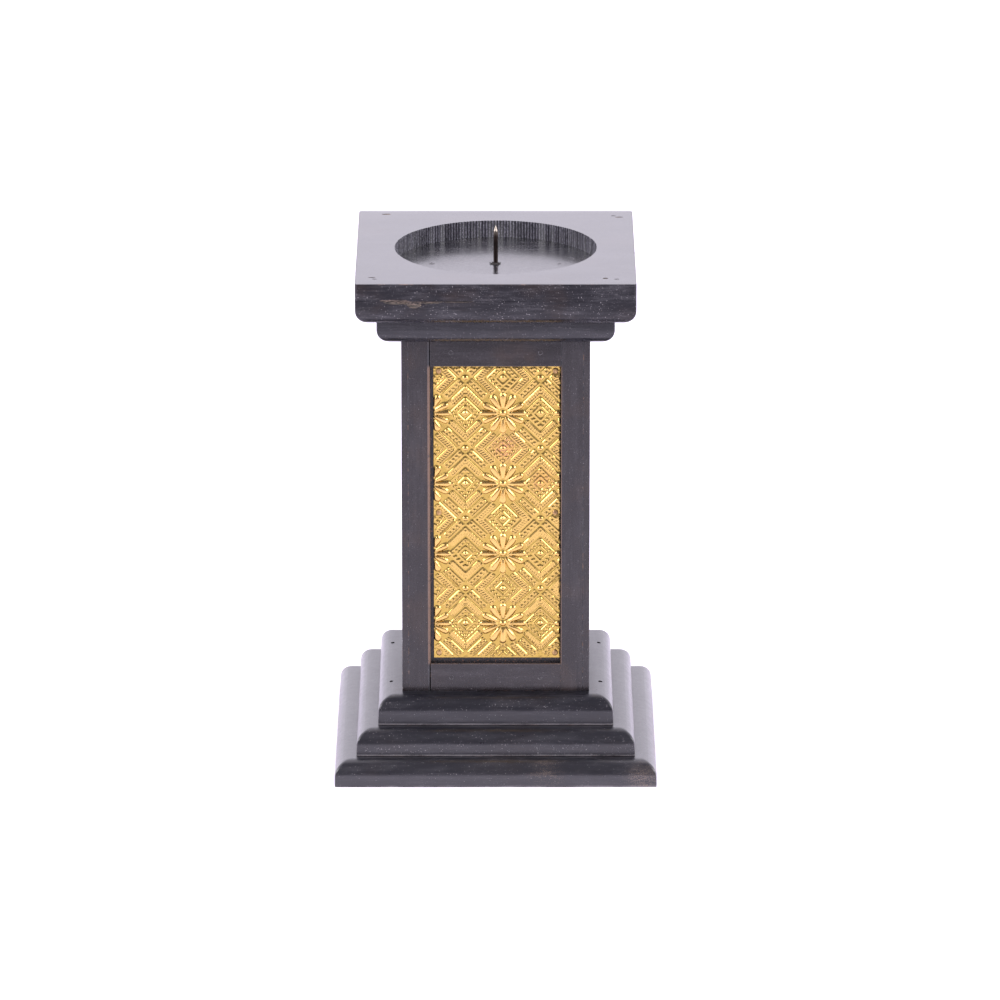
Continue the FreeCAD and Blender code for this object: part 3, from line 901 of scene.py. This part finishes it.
def stamped_sheet(face, turn, die, stains):
    """Presses a fine flat grid over the die, wears it, closes its back and stands it on the post."""
    low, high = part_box("front_brass_sheet")
    wide, tall = (high.x - low.x) / MM, (high.z - low.z) / MM
    thick = (high.y - low.y) / MM
    centre = Vector(((low.x + high.x) / 2, low.y, (low.z + high.z) / 2))
    shift = SHEET_PHASE[face]
    deselect()
    bpy.ops.mesh.primitive_grid_add(
        x_subdivisions=round(wide / GRID), y_subdivisions=round(tall / GRID), size=1, location=(0, 0, 3)
    )
    sheet = bpy.context.object
    sheet.name = f"{face}_embossed_sheet"
    sheet.scale = (wide, tall, 1)
    settle(sheet)
    die.location = (shift[0] - centre.x / MM, shift[1], 0)
    modify(sheet, "SHRINKWRAP", target=die, wrap_method="PROJECT", use_project_z=True,
           use_negative_direction=True, use_positive_direction=False)
    edge_x, edge_y = wide / 2, tall / 2
    seed = Vector((turn, 3, 7))
    tack_x, tack_y = edge_x - TACK_INSET, edge_y - TACK_INSET
    tacks = [(sx * tack_x, sy * tack_y) for sx in (-1, 1) for sy in (-1, 0, 1)]

    def pressed(vert):
        """The border, and the brass under the tacks' heads, are pressed nearly flat."""
        border = edge_x - abs(vert.co.x) < 0.45 or edge_y - abs(vert.co.y) < 0.9
        return border or any(math.dist(vert.co.xy, spot) < 1.6 for spot in tacks)

    pick(sheet, "verts", lambda vert: vert.co.z > CREST)
    bpy.ops.transform.resize(value=(1, 1, 0.3), center_override=(0, 0, CREST))
    done()
    pick(sheet, "verts", pressed)
    bpy.ops.transform.resize(value=(1, 1, 0.2), center_override=(0, 0, 0))
    done()
    modify(sheet, "SMOOTH", factor=0.5, iterations=1)

    def rubbed(co):
        """Where the pattern is faint or rubbed down: in patches, by the edges and round the tacks."""
        patch = (noise.noise(Vector((co.x, co.y, 0)) * 0.11 + seed) - 0.18) * 3.5
        side = 1 - min(edge_x - abs(co.x), edge_y - abs(co.y)) / 1.2
        tack = max(1.6 - 0.65 * math.dist(co.xy, spot) for spot in tacks)
        return max(min(patch, 0.75), side, tack, 0)

    modify(sheet, "SMOOTH", factor=0.5, iterations=8, vertex_group=weigh(sheet, "rubbed", rubbed))
    relief = [vert.co.z / 0.5 for vert in sheet.data.vertices]

    def blackened(co):
        right, left = 1 - (edge_x - co.x) / 2.2, 0.7 - (edge_x + co.x) / 1.6
        top, foot = 0.85 - (edge_y - co.y) / 2.0, 0.55 - (edge_y + co.y) / 2.0
        return max(right, left, top, foot, 0)

    rim = [blackened(vert.co) for vert in sheet.data.vertices]
    for name, values in (("relief", relief), ("rim", rim)):
        sheet.data.attributes.new(name, "FLOAT", "POINT").data.foreach_set("value", values)

    def crinkled(co):
        return max(1 - (edge_x - co.x) / 1.5, 0.6 - (edge_y - co.y) / 1.4, 0)

    creases, buckles = clouds(f"creases_{face}", 1.3, 1), clouds(f"buckles_{face}", 13, 1)
    modify(sheet, "DISPLACE", texture=creases, strength=0.7, mid_level=0.45, texture_coords="LOCAL",
           vertex_group=weigh(sheet, "crinkled", crinkled))
    modify(sheet, "DISPLACE", texture=buckles, strength=0.28, texture_coords="LOCAL")

    pick(sheet, "edges", lambda edge: edge.is_boundary)
    bpy.ops.mesh.extrude_edges_move(TRANSFORM_OT_translate={"value": (0, 0, -0.2)})
    bpy.ops.transform.resize(value=(1, 1, 0), center_override=(0, 0, -thick))
    bpy.ops.mesh.edge_face_add()
    bpy.ops.mesh.select_all(action="SELECT")
    bpy.ops.mesh.normals_make_consistent(inside=False)
    done()
    sheet.scale = (MM, MM, MM)
    sheet.rotation_euler.x = math.pi / 2
    sheet.location = centre
    settle(sheet)
    sheet.rotation_euler.z = math.radians(turn)
    settle(sheet)
    paint(sheet, brass(f"brass_{face}", stains))
    smooth(sheet, 60)
    finish(sheet, "embossed_brass", f"{face}_brass_sheet")


def sheets():
    die = whole_die()
    for face, turn in FACES.items():
        stains = ()
        if face == "front":
            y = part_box("front_brass_sheet")[0].y
            stains = (((3.5 * MM, y, 119.5 * MM), 6.5 * MM), ((17 * MM, y, 108 * MM), 6 * MM))
        stamped_sheet(face, turn, die, stains)
    bpy.data.objects.remove(die)


# ---------------------------------------------------------------- nails


def from_frame(node, name):
    """A copy of a node's own shape, with its loose triangles merged, to work on."""
    piece = frame["nodes"][node].copy()
    piece.data = piece.data.copy()
    for key in list(piece.keys()):
        del piece[key]
    piece.parent = None
    bpy.context.collection.objects.link(piece)
    piece.name = name
    piece.data.materials.clear()
    pick(piece, "faces", lambda face: True)
    bpy.ops.mesh.remove_doubles(threshold=0.001 * MM)
    done()
    return piece


def worked_heads(node, turn, inset, depth, material, slot, rough=0.0, proud=0.0):
    """Nails whose flat heads are domed, or dished where depth is negative, and stand proud by that much."""
    piece = from_frame(node, node + "_worked")
    outward = Vector((math.sin(math.radians(turn)), -math.cos(math.radians(turn)), 0))
    face = max(vert.co.dot(outward) for vert in piece.data.vertices)

    def on_head(item):
        faces_out = item.normal.dot(outward) > 0.99
        return faces_out and item.calc_center_median().dot(outward) > face - 0.02 * MM

    pick(piece, "faces", on_head)
    bpy.ops.mesh.inset(thickness=inset, depth=depth)
    bpy.ops.mesh.inset(thickness=inset, depth=depth * 0.45)
    done()
    if rough:
        unlevel(piece, rough, GRIT)
    piece.location = proud * outward
    settle(piece)
    paint(piece, material)
    smooth(piece, 50)
    finish(piece, slot, node)


def nails():
    tack, brad = tack_metal(), brad_metal()
    for face, turn in FACES.items():
        worked_heads(f"{face}_sheet_tacks", turn, 0.3 * MM, 0.13 * MM, tack, "tack_brass", rough=0.12 * MM)
        worked_heads(f"{face}_rail_brads", turn, 0.2 * MM, -0.12 * MM, brad, "nail_steel", proud=0.1 * MM)
        worked_heads(f"{face}_stile_brads", turn, 0.2 * MM, -0.12 * MM, brad, "nail_steel")


def spike():
    """The wire spike, and the splinters that it raised as it came through the cap board."""
    low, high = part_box("candle_spike")
    wire = from_frame("candle_spike", "wire_spike")
    paint(wire, spike_steel(high.z))
    unlevel(wire, 0.06 * MM, GRIT)
    smooth(wire, 50)
    finish(wire, "nail_steel", "candle_spike")

    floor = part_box("cap_board")[1].z
    toss = random.Random(11)
    deselect()
    bpy.ops.mesh.primitive_torus_add(
        major_segments=40, minor_segments=12, major_radius=1.1 * MM, minor_radius=0.5 * MM,
        location=(0, 0, floor),
    )
    raised = [bpy.context.object]
    unlevel(raised[0], 1.0 * MM, clouds("torn_ring", 0.7 * MM, 2))
    for number in range(16):
        turn = toss.uniform(0, math.tau)
        far = toss.uniform(0.9, 2.1) * MM
        deselect()
        bpy.ops.mesh.primitive_cone_add(vertices=5, radius1=1, radius2=0.2, depth=2)
        splinter = bpy.context.object
        size = (toss.uniform(0.12, 0.3), toss.uniform(0.1, 0.22), toss.uniform(0.4, 1.1))
        splinter.scale = Vector(size) * MM
        settle(splinter)
        splinter.rotation_euler = (0, toss.uniform(0.5, 1.4), turn)
        lift = toss.uniform(0, 0.15) * MM
        splinter.location = (far * math.cos(turn), far * math.sin(turn), floor + lift)
        settle(splinter)
        raised.append(splinter)
    splinters = gather("raised_splinters", raised)
    paint(splinters, Mix("torn_ring", Roughness=0.7, Base_Color=(0.016, 0.012, 0.012, 1)).material)
    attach(splinters, "root")


# ---------------------------------------------------------------- what stays as the frame has it


def kept_nodes():
    """The pieces that hardly show keep their own meshes and get a finish."""
    steel = brad_metal()
    finishes = {node: steel for node in ("foot_nails", "cap_nails", "tread_nails", "top_board_brads")}
    finishes["post"] = stained_post()
    for node, material in finishes.items():
        frame["nodes"][node].data.materials.clear()
        paint(frame["nodes"][node], material)


base()
cap()
panel_strips()
sheets()
nails()
spike()
kept_nodes()

# ---------------------------------------------------------------- the studio


def card(name, size, place, toward, colour):
    """A flat card of the studio's, facing a point."""
    deselect()
    bpy.ops.mesh.primitive_plane_add(size=1)
    piece = bpy.context.object
    piece.name = name
    piece.scale = (*size, 1)
    piece.rotation_euler = (Vector(toward) - Vector(place)).to_track_quat("Z", "Y").to_euler()
    piece.location = place
    settle(piece)
    paint(piece, Mix(name, Roughness=0.9, Base_Color=(*colour, 1)).material)
    return piece


def studio():
    """A white sweep lit from all round, two softboxes, and a dark room that only reflections show."""
    world = bpy.data.worlds.new("studio")
    bpy.context.scene.world = world
    world.use_nodes = True
    world.node_tree.nodes["Background"].inputs["Color"].default_value = (1.0, 0.955, 1.08, 1)
    world.node_tree.nodes["Background"].inputs["Strength"].default_value = 1.66
    middle = Vector((0, 0, 0.1))
    softbox_far = 1.3
    softbox_turn = math.radians(60)
    card("studio_floor", (6, 7), (0, 2.2, 0), (0, 2.2, 1), (0.83, 0.79, 0.88))
    dim = (0.12, 0.116, 0.124)
    dark_cards = [
        card("dark_room", (1.9, 2.8), (0, -1.3, 1.4), (0, 0, 1.4), dim),
        card("dark_screen", (0.84, 1.3), (0, -0.66, 0.65), (0, 0, 0.65), dim),
        card("dark_ceiling", (1.9, 1.4), (0, -0.6, 2.8), (0, -0.6, 0), dim),
    ]
    for piece in dark_cards:
        piece.visible_camera = False
        piece.visible_diffuse = False
        piece.visible_shadow = False
    for side in (-1, 1):
        away = Euler((0, 0, side * softbox_turn)).to_matrix() @ Vector((0, -0.84, 0.54))
        light = bpy.data.lights.new("softbox", "AREA")
        light.shape = "SQUARE"
        light.size = 0.6
        light.energy = 12
        lamp = bpy.data.objects.new("softbox", light)
        bpy.context.collection.objects.link(lamp)
        lamp.location = middle + softbox_far * away
        lamp.rotation_euler = (-away).to_track_quat("-Z", "Y").to_euler()
        lamp.visible_camera = False


def camera():
    """The camera stands in front and looks a little down, from far off, through a long lens."""
    pitch = math.radians(17.196)
    target = Vector((1.55, 0, 90.39)) * MM
    distance = 2910.5 * MM
    lens = bpy.data.cameras.new("camera")
    lens.lens = 288.1
    lens.sensor_width = 36
    lens.clip_end = 20
    view = bpy.data.objects.new("camera", lens)
    bpy.context.collection.objects.link(view)
    view.location = target + distance * Vector((0, -math.cos(pitch), math.sin(pitch)))
    view.rotation_euler = (math.pi / 2 - pitch, 0, 0)
    bpy.context.scene.camera = view


studio()
camera()
bpy.context.scene.view_settings.view_transform = "Standard"
